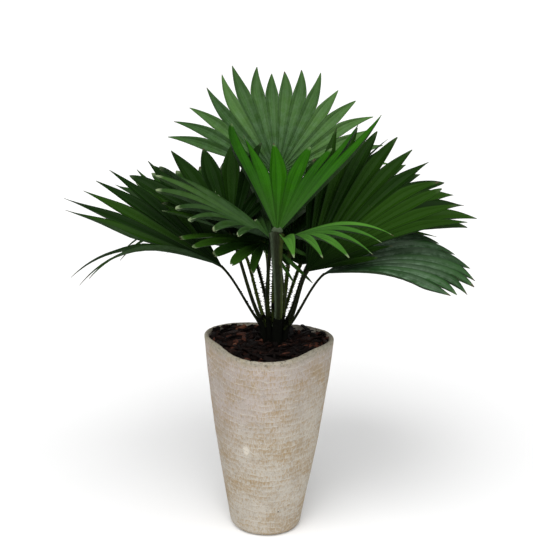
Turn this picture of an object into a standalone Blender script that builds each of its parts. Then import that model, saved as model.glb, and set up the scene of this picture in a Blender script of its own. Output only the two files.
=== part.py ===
"""Footstool palm in a tall tapering pot: pot, soil, crown base, leaf stalks and fan blades.

Metres, +Z up. The origin is the middle of the pot's flat underside, and the open side of the
crown faces -Y.
"""

import math
from collections import namedtuple

import bmesh
import bpy
import numpy as np
from mathutils.bvhtree import BVHTree

# Pot
POT_HEIGHT = 0.487
POT_BASE_RADIUS = 0.0866
POT_RIM_RADIUS = 0.1536
POT_WALL = 0.012
POT_FLOOR = 0.016
POT_BELLY = 0.59  # share of the side's rise that follows a sine, which bulges it a little
CORNER_SWELL = 0.12  # how far the rim's three corners stand out, as a share of its radius
CORNER_TURN = math.radians(25.5)  # where the first corner looks, from +X
CORNER_DIP = 0.001  # how far the rim dips at the corners and rises between them
RIM_SHIFT = -0.0053  # how far the rim's middle stands from over the foot's, along X
FOOT_ROUNDING = 0.0145
POT_SECTORS = 36
RING_HEIGHTS = (0.12, 0.24, 0.36, 0.48, 0.6, 0.72, 0.84, 0.95)  # of the side's rings, as shares
RING_SHARES = (0.12, 0.24, 0.36, 0.48, 0.6, 0.72, 0.84, 0.95)  # of the height, the side's rings

# Soil and crown base
SOIL_BELOW_RIM = 0.004
SOIL_MOUND = 0.006
CLEARANCE = 0.0003  # between faces that touch on the plant
SOIL_CLEARANCE = 0.0006
CROWN_RADIUS = 0.036
CROWN_SHIFT = 0.010  # along X
CROWN_SUNK = 0.012  # height of the crown sphere's centre over the soil

# Leaf stalks
STALK_FOOT_RADIUS = 0.0050
STALK_TIP_RADIUS = 0.0032
STALK_POINTS = 11
SEATINGS = 8  # how often a stalk's tip is moved up to its blade by the gap that is left
EDGE_SAMPLES = 5  # points along each edge that a gap is measured from

# Fan blades
BLADE_THICKNESS = 0.004
USUAL_BASAL = 0.66  # length of a leaflet opposite the middle one, as a share of it
BASAL_JOINED = 0.67  # of the middle's joined share, what is left opposite it
MOST_JOINED = 0.9
STRAND_JOINED = 0.30  # the same for the strands, the leaflets that hang free at a blade's edge
STRAND_SAG = 1.8
STRAND_LENGTH = 0.9
FOLD_ROUNDING = math.radians(24)
LENGTH_WAVE = 0.035  # how far leaflets differ in length, as a share
WAIST_PLACE = 0.45  # where along its free part a leaflet starts to run to its point
WAIST_WIDTH = 0.74
LONGEST_SHARE = 1.1  # of a leaf's radius, the furthest that a leaflet can reach
RAY_STEPS = 34
BLADE_CLEARANCE = 0.0005
TRIM = 0.90
SHORTEST = 0.045
MOST_TRIMS = 24

Leaf = namedtuple(
    "Leaf",
    "name hub azimuth elevation roll radius left right fold cup sag strands "
    "foot_azimuth foot_elevation girth step joined basal",
    defaults=[USUAL_BASAL],
)

# Angles in degrees. The azimuth is where the middle leaflet points, from +X towards +Y, and left
# and right are how far the blade opens to either side of it, seen from the hub. The girth is the
# stalk's, as a share of the usual one. The step is the angle that one leaflet takes at the hub, and
# joined is the share of the middle leaflets that is joined to their neighbours. Basal is the length
# of a leaflet opposite the middle one, as a share of it, given where it isn't the usual one. Strands
# is how many leaflets hang free at the left edge, or below zero at the right edge.
LEAVES = (
    Leaf("front", (0.01, -0.075, 0.77), 85, 27, 2, 0.38, 37, 53, 30, 60, 0.15, 0,
         -70, 62, 1.9, 12.86, 0.6),
    Leaf("front_right", (0.022, -0.055, 0.752), -52, 19, 3, 0.28, 39, 39, 11, 0, 0.74, 0,
         -12, 64, 0.8, 13, 0.52),
    Leaf("top", (0.009, 0.27, 0.848), 92, 65, 4, 0.302, 76, 96, 2, 28, 0.08, 0,
         95, 60, 1.1, 9.56, 0.76),
    Leaf("right_far", (0.124, -0.03, 0.666), -2, 17, 8, 0.367, 32.5, 38.4, 10, 1, 0.89, 0,
         -25, 40, 0.9, 8.86, 0.88),
    Leaf("right_near", (0.084, 0, 0.661), 8, 46, 34, 0.399, 50, 45, 10, 0, 0.33, 0,
         5, 44, 1.1, 7.31, 0.77),
    Leaf("left_far", (-0.122, 0.03, 0.663), 183, 19, 3, 0.414, 24, 56, 31, 0, 0.05, 3,
         165, 40, 0.85, 8, 0.7),
    Leaf("left_upper", (-0.098, -0.01, 0.751), 121, 34, -15, 0.307, 40, 72, 11, 0, 0.14, 0,
         195, 52, 1.2, 14, 0.65),
    Leaf("middle", (-0.021, 0.03, 0.725), 167, 22, -9, 0.266, 150, 74, 10, 0, 0.18, 2,
         180, 72, 1.25, 11.5, 0.65),
    Leaf("front_low", (-0.004, -0.045, 0.75), 84, 12, 16, 0.4, 156, 20, 0, 36, 0.15, 0,
         -130, 62, 1, 14, 0.74, 0.3),
    Leaf("upper", (0.05, 0.12, 0.716), 60, 39, -20, 0.368, 50, 62, 10, 10, 0.25, -2,
         50, 60, 1.2, 9.5, 0.73),
    Leaf("right_back", (0.099, 0.11, 0.668), 13, 31, 20, 0.415, 47, 34, 10, 0, 0.55, 0,
         35, 42, 1, 8, 0.86),
    Leaf("left_back", (-0.075, 0.15, 0.68), 134, 19, -5, 0.412, 41, 77, 10, 0, 0.09, 2,
         135, 45, 1, 9.6, 0.85),
    Leaf("back_right", (0.074, 0.2, 0.626), 65, 28, 1, 0.381, 76, 76, 10, 0, 0.61, 0,
         65, 40, 1, 10.2, 0.73),
    Leaf("back_left", (-0.048, 0.22, 0.648), 115, 18, -7, 0.346, 60, 46, 10, 0, 0.33, 0,
         105, 40, 1, 8.8, 0.77),
)

# Of some leaves, how far each leaflet's free part swings from its own line, in leaflet widths, and
# how long it is beside the usual length there, from left to right.
OWN_TIPS = {
    "front": (
        (0.54, 1.17), (-0.13, 0.93), (-0.05, 0.99), (-0.0, 1.0), (0.06, 0.82), (-0.51, 1.2), (-0.7, 1.15),
    ),
    "top": (
        (-0.34, 1.08), (-0.37, 1.09), (-0.2, 0.96), (0.34, 1.03), (0.58, 1.03), (0.25, 1.05),
        (0.24, 1.03), (0.03, 0.89), (-0.11, 0.96), (-0.23, 1.0), (-0.31, 0.98), (-0.07, 0.99),
        (0.15, 0.98), (0.29, 1.03), (0.0, 1.0), (0.0, 1.0), (0.07, 1.1), (-0.16, 0.91),
    ),
    "right_far": (
        (0.1, 0.95), (-0.09, 1.0), (-0.21, 1.02), (-0.02, 1.07), (-0.06, 0.99), (0.31, 0.99), (-0.01, 0.98),
        (-0.44, 0.91),
    ),
    "right_near": (
        (0.0, 1.0), (0.0, 1.0), (0.0, 1.0), (-0.06, 1.06), (-0.11, 0.99), (-0.04, 1.0), (-0.04, 1.01),
        (0.31, 0.93), (-0.14, 0.99), (0.0, 1.0), (-0.05, 1.05), (0.0, 0.62), (0.0, 0.5),
    ),
}
UP = np.array([0.0, 0.0, 1.0])


def unit(vector):
    """The vector, or each row of it, at length one."""
    return vector / np.linalg.norm(vector, axis=-1, keepdims=True)


def clear_scene():
    """Removes whatever the file opened with."""
    for thing in list(bpy.data.objects):
        bpy.data.objects.remove(thing, do_unlink=True)


def plain_material(name, color, roughness, metallic=0.0):
    """A Principled material of one colour."""
    material = bpy.data.materials.new(name)
    material.use_nodes = True
    shader = material.node_tree.nodes["Principled BSDF"]
    shader.inputs["Base Color"].default_value = (*color, 1.0)
    shader.inputs["Roughness"].default_value = roughness
    shader.inputs["Metallic"].default_value = metallic
    material.diffuse_color = (*color, 1.0)
    return material


def add_object(name, data, material, collection):
    """Puts a mesh or a curve into the scene as a named piece."""
    thing = bpy.data.objects.new(name, data)
    data.materials.append(material)
    collection.objects.link(thing)
    return thing


def loft(name, rings, collection, material):
    """A closed body through rings of equal length, with a fan to the last point of each end."""
    mesh = bmesh.new()
    loops = [[mesh.verts.new(point) for point in ring] for ring in rings]
    for lower, upper in zip(loops, loops[1:]):
        for i in range(len(lower)):
            j = (i + 1) % len(lower)
            mesh.faces.new((lower[i], lower[j], upper[j], upper[i]))
    mesh.faces.new(list(reversed(loops[0])))
    hub = mesh.verts.new(np.mean(rings[-1], axis=0))
    for i in range(len(loops[-1])):
        j = (i + 1) % len(loops[-1])
        mesh.faces.new((loops[-1][i], loops[-1][j], hub))
    data = bpy.data.meshes.new(name)
    mesh.to_mesh(data)
    mesh.free()
    data.shade_smooth()
    data.set_sharp_from_angle(angle=math.radians(40))
    return add_object(name, data, material, collection)


def pot_ring(height, inset):
    """One level ring of the pot: round at the foot, a soft triangle with a waved edge at the rim."""
    rise = min(max(height / POT_HEIGHT, 0.0), 1.0)
    bulge = (1 - POT_BELLY) * rise + POT_BELLY * math.sin(rise * math.pi / 2)
    radius = POT_BASE_RADIUS + (POT_RIM_RADIUS - POT_BASE_RADIUS) * bulge
    ring = []
    for i in range(POT_SECTORS):
        turn = 2 * math.pi * i / POT_SECTORS
        corner = math.cos(3 * (turn - CORNER_TURN))
        reach = radius * (1 + CORNER_SWELL * rise * corner) - inset
        lift = -CORNER_DIP * corner * rise**6
        x = reach * math.cos(turn) + RIM_SHIFT * rise
        ring.append((x, reach * math.sin(turn), height + lift))
    return ring


def make_pot(collection):
    """The hollow pot, from the middle of its underside up the outside and down the inside."""
    clay = plain_material("pot_clay", (0.55, 0.50, 0.42), 0.85)
    sides = [POT_HEIGHT * share for share in RING_HEIGHTS]
    lip = POT_WALL / 2
    outside = [
        (0.0, FOOT_ROUNDING),
        (FOOT_ROUNDING * 0.3, FOOT_ROUNDING * 0.3),
        (FOOT_ROUNDING, 0.0),
        *((height, 0.0) for height in sides),
        (POT_HEIGHT - lip, 0.0),
        (POT_HEIGHT - lip * 0.3, lip * 0.3),
    ]
    inside = [
        (POT_HEIGHT, lip),
        (POT_HEIGHT - lip * 0.3, POT_WALL - lip * 0.3),
        (POT_HEIGHT - lip, POT_WALL),
        *((height, POT_WALL) for height in reversed(sides)),
        (POT_FLOOR, POT_WALL),
    ]
    rings = [pot_ring(height, inset) for height, inset in outside + inside]
    return loft("pot", rings, collection, clay)


def make_soil(collection):
    """The potting soil, filling the pot to just under its rim."""
    earth = plain_material("soil_dark", (0.035, 0.022, 0.015), 0.95)
    inset = POT_WALL + SOIL_CLEARANCE
    top = POT_HEIGHT - SOIL_BELOW_RIM
    heights = [POT_FLOOR + SOIL_CLEARANCE]
    heights += [POT_HEIGHT * share for share in RING_HEIGHTS]
    rings = [pot_ring(height, inset) for height in heights]
    edge = np.array(pot_ring(top - SOIL_MOUND, inset))
    rings.append([tuple(point) for point in edge])
    middle = (edge + edge.mean(axis=0)) / 2
    middle[:, 2] = top
    rings.append([tuple(point) for point in middle])
    return loft("soil", rings, collection, earth)


def crown_middle():
    """Centre of the sphere that the stalks stand on."""
    return np.array([CROWN_SHIFT, 0.0, POT_HEIGHT - SOIL_BELOW_RIM + CROWN_SUNK])


def make_crown_base(collection):
    """The short swollen stem that the stalks spring from, cut flat where it meets the soil."""
    fibre = plain_material("crown_fibre", (0.03, 0.025, 0.015), 0.9)
    mesh = bmesh.new()
    bmesh.ops.create_uvsphere(mesh, u_segments=24, v_segments=14, radius=CROWN_RADIUS)
    bmesh.ops.translate(mesh, verts=mesh.verts, vec=crown_middle())
    floor = (0, 0, POT_HEIGHT - SOIL_BELOW_RIM + CLEARANCE)
    edges = mesh.verts[:] + mesh.edges[:] + mesh.faces[:]
    cut = bmesh.ops.bisect_plane(
        mesh, geom=edges, plane_co=floor, plane_no=(0, 0, -1), clear_outer=True
    )
    rim = [edge for edge in cut["geom_cut"] if isinstance(edge, bmesh.types.BMEdge)]
    bmesh.ops.contextual_create(mesh, geom=rim)
    bmesh.ops.recalc_face_normals(mesh, faces=mesh.faces)
    data = bpy.data.meshes.new("crown_base")
    mesh.to_mesh(data)
    mesh.free()
    data.shade_smooth()
    data.set_sharp_from_angle(angle=math.radians(40))
    return add_object("crown_base", data, fibre, collection)


def blade_frame(leaf):
    """Directions of a blade at its hub: along the middle leaflet, to its right, and off its face."""
    azimuth = math.radians(leaf.azimuth)
    elevation = math.radians(leaf.elevation)
    roll = math.radians(leaf.roll)
    level = np.array([math.cos(azimuth), math.sin(azimuth), 0.0])
    middle = level * math.cos(elevation) + UP * math.sin(elevation)
    face = unit(UP - middle * (UP @ middle))
    right = np.cross(middle, face)
    return (
        middle,
        right * math.cos(roll) - face * math.sin(roll),
        face * math.cos(roll) + right * math.sin(roll),
    )


def ray(leaf, angle, sag, distances):
    """Points at these distances from the hub, on a line that leaves it at an angle and sags."""
    middle, right, face = blade_frame(leaf)
    opening = abs(angle)
    lift = math.radians(leaf.fold) * math.tanh(opening / FOLD_ROUNDING)
    wing = math.copysign(math.cos(lift), angle) * right + math.sin(lift) * face
    start = math.cos(opening) * middle + math.sin(opening) * wing
    cup = math.radians(leaf.cup) * (opening / math.pi) ** 1.5
    start = start * math.cos(cup) + face * math.sin(cup)
    shares = np.linspace(0, LONGEST_SHARE, RAY_STEPS)
    heading = unit(start - UP * (sag * shares**2)[:, None])
    path = np.cumsum((heading[1:] + heading[:-1]) / 2, axis=0)
    path = np.vstack([np.zeros(3), path]) * (leaf.radius * shares[1])
    shares = shares * leaf.radius
    points = [np.interp(distances, shares, path[:, k]) for k in range(3)]
    return np.array(leaf.hub) + np.stack(points, axis=1)


def leaflets(leaf):
    """Angle, half angle, length, joined length, sag and swing of each leaflet, from left to right."""
    left = -math.radians(leaf.left)
    right = math.radians(leaf.right)
    count = round((right - left) / math.radians(leaf.step))
    step = (right - left) / count
    own = OWN_TIPS.get(leaf.name, ((0.0, 1.0),) * count)
    rows = []
    for i in range(count):
        angle = left + (i + 0.5) * step
        opening = abs(angle) / math.pi
        length = leaf.radius * (1 - (1 - leaf.basal) * opening**1.5)
        length *= 1 + LENGTH_WAVE * math.sin(2.4 * i + 10 * leaf.radius)
        joined = leaf.joined * (1 - (1 - BASAL_JOINED) * opening)
        edge = i if leaf.strands > 0 else count - 1 - i
        loose = max(0.0, 1 - (edge / leaf.strands) ** 4) if leaf.strands else 0.0
        joined += (STRAND_JOINED - joined) * loose
        length *= (1 - (1 - STRAND_LENGTH) * loose) * own[i][1]
        sag = leaf.sag + STRAND_SAG * loose
        rows.append([angle, step / 2, length, joined * length, sag, own[i][0] * step])
    return rows


def fan_mesh(leaf, rows):
    """The open surface of a fan: leaflets joined from the hub outwards, then free and pointed."""
    mesh = bmesh.new()
    number = mesh.faces.layers.int.new("leaflet")
    hub = mesh.verts.new(leaf.hub)
    edges = []
    for one, two in zip([rows[0]] + rows, rows + [rows[-1]]):
        angle = two[0] - two[1] if two is not one or not edges else one[0] + one[1]
        joined = min(one[3], two[3])
        points = ray(leaf, angle, (one[4] + two[4]) / 2, [joined / 2, joined])
        edges.append([mesh.verts.new(point) for point in points])
    for i, (row, left, right) in enumerate(zip(rows, edges, edges[1:])):
        angle, half, length, joined, sag, swing = row
        waist = joined + (length - joined) * WAIST_PLACE
        swung = angle + swing * WAIST_PLACE**1.5
        middle, *sides = [ray(leaf, swung + turn, sag, [waist])[0] for turn in (0, -half, half)]
        tip = ray(leaf, angle + swing, sag, [length])[0]
        near = [mesh.verts.new(middle + WAIST_WIDTH * (side - middle)) for side in sides]
        end = mesh.verts.new(tip)
        corners = (
            (hub, right[0], left[0]),
            (left[0], right[0], right[1], left[1]),
            (left[1], right[1], near[1], near[0]),
            (near[0], near[1], end),
        )
        for corner in corners:
            mesh.faces.new(corner)[number] = i
    return mesh


def touching(blade, obstacles):
    """Numbers of the leaflets that reach into a piece that is already there."""
    solid = bmesh.new()
    solid.from_object(blade, bpy.context.evaluated_depsgraph_get())
    solid.faces.ensure_lookup_table()
    number = solid.faces.layers.int["leaflet"]
    tree = BVHTree.FromBMesh(solid)
    found = set()
    for obstacle in obstacles:
        found |= {solid.faces[mine][number] for mine, _ in tree.overlap(obstacle)}
    solid.free()
    return found


def solid_of(thing):
    """Points along the edges of a piece as it is built, and a search tree over its faces."""
    bpy.context.view_layer.update()
    graph = bpy.context.evaluated_depsgraph_get()
    evaluated = thing.evaluated_get(graph)
    data = evaluated.to_mesh()
    mesh = bmesh.new()
    mesh.from_mesh(data)
    evaluated.to_mesh_clear()
    tree = BVHTree.FromBMesh(mesh)
    shares = np.linspace(0, 1, EDGE_SAMPLES)
    ends = [[corner.co.copy() for corner in edge.verts] for edge in mesh.edges]
    points = [start.lerp(end, share) for start, end in ends for share in shares]
    mesh.free()
    return points, tree


def make_blade(leaf, obstacles, collection, material):
    """One fan. A leaflet that meets another piece is grown shorter until it stays clear of it."""
    rows = leaflets(leaf)
    name = "fan_" + leaf.name
    blade = add_object(name, bpy.data.meshes.new(name), material, collection)
    thicken = blade.modifiers.new("thickness", "SOLIDIFY")
    thicken.thickness = BLADE_THICKNESS + 2 * BLADE_CLEARANCE
    thicken.offset = 0.0
    for _ in range(MOST_TRIMS):
        mesh = fan_mesh(leaf, rows)
        mesh.to_mesh(blade.data)
        mesh.free()
        bpy.context.view_layer.update()
        met = touching(blade, obstacles)
        for i in met:
            rows[i][2] = max(rows[i][2] * TRIM, SHORTEST)
            rows[i][3] = min(rows[i][3], rows[i][2] * MOST_JOINED)
        if not met:
            break
    blade.data.shade_smooth()
    thicken.thickness = BLADE_THICKNESS
    return blade


def stalk_route(leaf):
    """Middle line of a leaf stalk, from the crown base to just under the blade's hub."""
    azimuth = math.radians(leaf.foot_azimuth)
    elevation = math.radians(leaf.foot_elevation)
    level = np.array([math.cos(azimuth), math.sin(azimuth), 0.0])
    leaving = level * math.cos(elevation) + UP * math.sin(elevation)
    foot = crown_middle() + leaving * (CROWN_RADIUS + CLEARANCE)
    middle, _, face = blade_frame(leaf)
    chord = unit(np.array(leaf.hub) - foot)
    arriving = unit(0.65 * chord + 0.35 * middle)
    slant = np.linalg.norm(np.cross(arriving, face))
    fold = math.radians(abs(leaf.fold))
    tip_radius = STALK_TIP_RADIUS * leaf.girth
    below = BLADE_THICKNESS / 2 / math.cos(fold) + CLEARANCE + tip_radius * slant
    if leaf.fold < 0:
        below += tip_radius * math.tan(fold)
    tip = np.array(leaf.hub) - face * below
    reach = np.linalg.norm(tip - foot)
    handles = [foot, foot + leaving * reach * 0.25, tip - arriving * reach * 0.3, tip]
    points = []
    for t in np.linspace(0, 1, STALK_POINTS):
        weights = ((1 - t) ** 3, 3 * t * (1 - t) ** 2, 3 * t**2 * (1 - t), t**3)
        points.append(sum(w * h for w, h in zip(weights, handles)))
    return points


def make_stalk(leaf, collection, material):
    """A tapering leaf stalk, as a curve with a round bevel."""
    points = stalk_route(leaf)
    data = bpy.data.curves.new("stalk_" + leaf.name, "CURVE")
    data.dimensions = "3D"
    data.bevel_depth = STALK_FOOT_RADIUS * leaf.girth
    data.bevel_resolution = 1
    data.use_fill_caps = True
    spline = data.splines.new("POLY")
    spline.points.add(len(points) - 1)
    for i, point in enumerate(points):
        share = i / (len(points) - 1)
        spline.points[i].co = (*point, 1.0)
        spline.points[i].radius = 1 - share * (1 - STALK_TIP_RADIUS / STALK_FOOT_RADIUS)
    return add_object("stalk_" + leaf.name, data, material, collection)


def seat_stalk(stalk, leaf, blade):
    """Moves the tip of a stalk up to its blade, until only the clearance is left between them."""
    face = blade_frame(leaf)[2]
    blade_points, blade_tree = blade
    for _ in range(SEATINGS):
        points, tree = solid_of(stalk)
        gaps = [blade_tree.find_nearest(point)[3] for point in points]
        gaps += [tree.find_nearest(point)[3] for point in blade_points]
        gap = 0.0 if tree.overlap(blade_tree) else min(gaps)
        tip = stalk.data.splines[0].points[-1]
        lifted = np.array(tip.co[:3]) + face * (gap - CLEARANCE)
        tip.co = (*lifted, 1.0)


def main():
    """Builds the whole plant."""
    clear_scene()
    collection = bpy.data.collections.new("footstool_palm")
    bpy.context.scene.collection.children.link(collection)
    make_pot(collection)
    make_soil(collection)
    make_crown_base(collection)
    green = plain_material("leaf_green", (0.05, 0.16, 0.03), 0.45)
    stalk_green = plain_material("stalk_dark_green", (0.04, 0.06, 0.02), 0.55)
    stalks = [make_stalk(leaf, collection, stalk_green) for leaf in LEAVES]
    stalk_trees = [solid_of(stalk)[1] for stalk in stalks]
    blades = []
    for i, leaf in enumerate(LEAVES):
        others = stalk_trees[:i] + stalk_trees[i + 1 :] + [tree for _, tree in blades]
        blades.append(solid_of(make_blade(leaf, others, collection, green)))
    for stalk, leaf, blade in zip(stalks, LEAVES, blades):
        seat_stalk(stalk, leaf, blade)


if __name__ == "__main__":
    main()
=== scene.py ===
"""Looks of a potted footstool palm, laid out as an add-on and run as a script.

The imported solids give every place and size. The pot, the mulch, the crown base, each stalk and each
fan blade is built again, finer, in the space that its solid holds.
"""

import math
from collections import namedtuple

import bmesh
import bpy
import numpy as np
from mathutils import Matrix, Vector
from mathutils.bvhtree import BVHTree


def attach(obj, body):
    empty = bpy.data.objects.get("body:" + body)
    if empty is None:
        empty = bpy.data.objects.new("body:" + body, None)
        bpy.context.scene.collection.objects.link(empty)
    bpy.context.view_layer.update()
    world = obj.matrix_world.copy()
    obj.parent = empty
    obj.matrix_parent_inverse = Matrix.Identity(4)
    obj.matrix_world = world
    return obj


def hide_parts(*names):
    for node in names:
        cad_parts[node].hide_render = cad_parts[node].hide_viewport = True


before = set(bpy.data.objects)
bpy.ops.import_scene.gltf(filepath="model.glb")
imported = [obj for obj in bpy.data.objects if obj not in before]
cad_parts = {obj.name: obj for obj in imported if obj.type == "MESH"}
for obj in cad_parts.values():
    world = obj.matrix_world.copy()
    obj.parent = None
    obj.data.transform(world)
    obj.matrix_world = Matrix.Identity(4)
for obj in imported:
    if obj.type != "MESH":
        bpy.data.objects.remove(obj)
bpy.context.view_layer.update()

bl_info = {
    "name": "Potted footstool palm",
    "version": (1, 0, 0),
    "blender": (4, 5, 0),
    "location": "3D View > Sidebar > Palm",
    "description": "Builds a potted footstool palm around its packed solids",
    "category": "Object",
}

# Pot
POT_HEIGHT = 0.487
POT_BASE_RADIUS = 0.0866
POT_RIM_RADIUS = 0.1536
POT_WALL = 0.012
POT_BELLY = 0.59
CORNER_SWELL = 0.12
CORNER_TURN = math.radians(25.5)
CORNER_DIP = 0.001
RIM_SHIFT = -0.0053
FOOT_ROUNDING = 0.0145
POT_SECTORS = 320
POT_ROWS = 150
LIP_ROWS = 14
INSIDE_ROWS = 16
UNEVENNESS = 0.0009
TOOL_MARK = 0.00025
WHITE_SPOT = (-0.051, -0.124, 0.247)

# Mulch and crown base
SOIL_TOP = 0.483
SOIL_MOUND = 0.006
SOIL_CLEARANCE = 0.0126
CROWN_RADIUS = 0.036
CROWN_SHIFT = 0.010
CROWN_MIDDLE = np.array([CROWN_SHIFT, 0.0, SOIL_TOP + 0.012])

# Stalks
STALK_FOOT_RADIUS = 0.0050
STALK_TIP_RADIUS = 0.0032
STALK_ROWS = 64
COSTA_ROWS = 8
COSTA_LENGTH = 0.022
STALK_SIDES = 18
SHEATH_ROWS = 12

# Fan blades
BASAL_JOINED = 0.67
MOST_JOINED = 0.9
STRAND_JOINED = 0.30
STRAND_SAG = 1.8
STRAND_LENGTH = 0.9
FOLD_ROUNDING = math.radians(24)
LENGTH_WAVE = 0.035
LONGEST_SHARE = 1.1
RAY_STEPS = 34
TRIM = 0.90
SHORTEST = 0.045
MOST_TRIMS = 24
NEAR_SOLID = 0.004
JOINED_ROWS = 12
FREE_ROWS = 16
LEAFLET_COLUMNS = 9
HUB_GAP = 0.002
TIP_WIDTH = 0.0006
NOTCH = 0.006

Leaf = namedtuple(
    "Leaf",
    "name hub azimuth elevation roll radius left right fold cup sag strands "
    "foot_azimuth foot_elevation girth step joined basal finish blunt hang",
    defaults=(0.0,),
)

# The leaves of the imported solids, in their own order, with the finish of each and how blunt its
# leaflets end: the higher, the longer a leaflet keeps its width.
LEAVES = (
    Leaf("front", (0.01, -0.075, 0.77), 85, 27, 2, 0.38, 37, 53, 30, 60, 0.15, 0,
         -70, 62, 1.9, 12.86, 0.6, 0.66, "fresh", 1.5),
    Leaf("front_right", (0.022, -0.055, 0.752), -52, 19, 3, 0.28, 39, 39, 11, 0, 0.74, 0,
         -12, 64, 0.8, 13, 0.52, 0.66, "strip", 1.7),
    Leaf("top", (0.009, 0.27, 0.848), 92, 65, 4, 0.302, 76, 96, 2, 28, 0.08, 0,
         95, 60, 1.1, 9.56, 0.76, 0.66, "silver", 1.3),
    Leaf("right_far", (0.124, -0.03, 0.666), -2, 17, 8, 0.367, 32.5, 38.4, 10, 1, 0.89, 0,
         -25, 40, 0.9, 8.86, 0.88, 0.66, "gloss", 1.5),
    Leaf("right_near", (0.084, 0, 0.661), 8, 46, 34, 0.399, 50, 45, 10, 0, 0.33, 0,
         5, 44, 1.1, 7.31, 0.77, 0.66, "deep", 1.4),
    Leaf("left_far", (-0.122, 0.03, 0.663), 183, 19, 3, 0.414, 24, 56, 31, 0, 0.05, 3,
         165, 40, 0.85, 8, 0.7, 0.66, "deep", 1.35),
    Leaf("left_upper", (-0.098, -0.01, 0.751), 121, 34, -15, 0.307, 40, 72, 11, 0, 0.14, 0,
         195, 52, 1.2, 14, 0.65, 0.66, "dark", 1.7),
    Leaf("middle", (-0.021, 0.03, 0.725), 167, 22, -9, 0.266, 150, 74, 10, 0, 0.18, 2,
         180, 72, 1.25, 11.5, 0.65, 0.66, "green", 2.8),
    Leaf("front_low", (-0.004, -0.045, 0.75), 84, 12, 16, 0.4, 156, 20, 0, 36, 0.15, 0,
         -130, 62, 1, 14, 0.74, 0.3, "pale", 3.0, 0.32),
    Leaf("upper", (0.05, 0.12, 0.716), 60, 39, -20, 0.368, 50, 62, 10, 10, 0.25, -2,
         50, 60, 1.2, 9.5, 0.73, 0.66, "green", 1.35),
    Leaf("right_back", (0.099, 0.11, 0.668), 13, 31, 20, 0.415, 47, 34, 10, 0, 0.55, 0,
         35, 42, 1, 8, 0.86, 0.66, "deep", 1.4),
    Leaf("left_back", (-0.075, 0.15, 0.68), 134, 19, -5, 0.412, 41, 77, 10, 0, 0.09, 2,
         135, 45, 1, 9.6, 0.85, 0.66, "green", 1.35),
    Leaf("back_right", (0.074, 0.2, 0.626), 65, 28, 1, 0.381, 76, 76, 10, 0, 0.61, 0,
         65, 40, 1, 10.2, 0.73, 0.66, "green", 1.35),
    Leaf("back_left", (-0.048, 0.22, 0.648), 115, 18, -7, 0.346, 60, 46, 10, 0, 0.33, 0,
         105, 40, 1, 8.8, 0.77, 0.66, "deep", 1.35),
)

# Of some leaves, how far each leaflet's free part swings from its own line, in leaflet widths, and
# how long it is beside the usual length there, from left to right.
OWN_TIPS = {
    "front": (
        (0.54, 1.17), (-0.13, 0.93), (-0.05, 0.99), (-0.0, 1.0), (0.06, 0.82), (-0.51, 1.2), (-0.7, 1.15),
    ),
    "top": (
        (-0.34, 1.08), (-0.37, 1.09), (-0.2, 0.96), (0.34, 1.03), (0.58, 1.03), (0.25, 1.05),
        (0.24, 1.03), (0.03, 0.89), (-0.11, 0.96), (-0.23, 1.0), (-0.31, 0.98), (-0.07, 0.99),
        (0.15, 0.98), (0.29, 1.03), (0.0, 1.0), (0.0, 1.0), (0.07, 1.1), (-0.16, 0.91),
    ),
    "right_far": (
        (0.1, 0.95), (-0.09, 1.0), (-0.21, 1.02), (-0.02, 1.07), (-0.06, 0.99), (0.31, 0.99), (-0.01, 0.98),
        (-0.44, 0.91),
    ),
    "left_upper": (
        (0.0, 1.0), (0.0, 1.0), (0.0, 1.0), (0.0, 1.0), (0.0, 1.0), (0.0, 1.0), (0.0, 0.58), (0.0, 0.51),
    ),
    "right_near": (
        (0.0, 1.0), (0.0, 1.0), (0.0, 1.0), (-0.06, 1.06), (-0.11, 0.99), (-0.04, 1.0), (-0.04, 1.01),
        (0.31, 0.93), (-0.14, 0.99), (0.0, 1.0), (-0.05, 1.05), (0.0, 0.62), (0.0, 0.5),
    ),
}
# Ends and widths of the middle leaf's narrow basal leaflets, with their bow and the way they face
BASAL_LEAFLETS = (
    ((0.095, 0.035, 0.688), 0.013), ((0.1015, 0.035, 0.6227), 0.011), ((0.0581, 0.035, 0.6188), 0.009),
)
BASAL_BOW = 0.006
BASAL_FACE = np.array([0.0, -0.8, 0.6])
BASAL_ROWS = 18
UP = np.array([0.0, 0.0, 1.0])

# Camera, as the photograph was taken
CAMERA_PLACE = (-0.0125, -2.7, 1.38)
CAMERA_PITCH = math.radians(14.9)
CAMERA_ROLL = math.radians(1.4)
CAMERA_LENS = 78.35


def colour(name, description, default):
    """A colour that the user can change."""
    return bpy.props.FloatVectorProperty(
        name=name, description=description, default=default, subtype="COLOR", size=3, min=0, max=1
    )


def length(name, description, default):
    """A size that the user can change, in metres."""
    return bpy.props.FloatProperty(
        name=name, description=description, default=default, unit="LENGTH", precision=4, min=0
    )


class PotLook(bpy.types.PropertyGroup):
    """Colours and relief of the pot."""

    chalk: colour("Chalk", "Pale bloom of lime over the pot", (0.43, 0.395, 0.34))
    lilac: colour("Lilac", "Cooler bloom over the upper part", (0.39, 0.34, 0.31))
    tan: colour("Tan", "Clay that shows through the bloom", (0.30, 0.215, 0.115))
    olive: colour("Olive", "Damp tint along the rim", (0.30, 0.28, 0.21))
    lime: colour("Lime", "Whitish ridges, scratches and the white spot", (0.56, 0.52, 0.45))
    pit: colour("Pit", "Dark air holes in the clay", (0.05, 0.035, 0.02))
    course: length("Course height", "Height of one course of tool marks", 0.0150)


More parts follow.
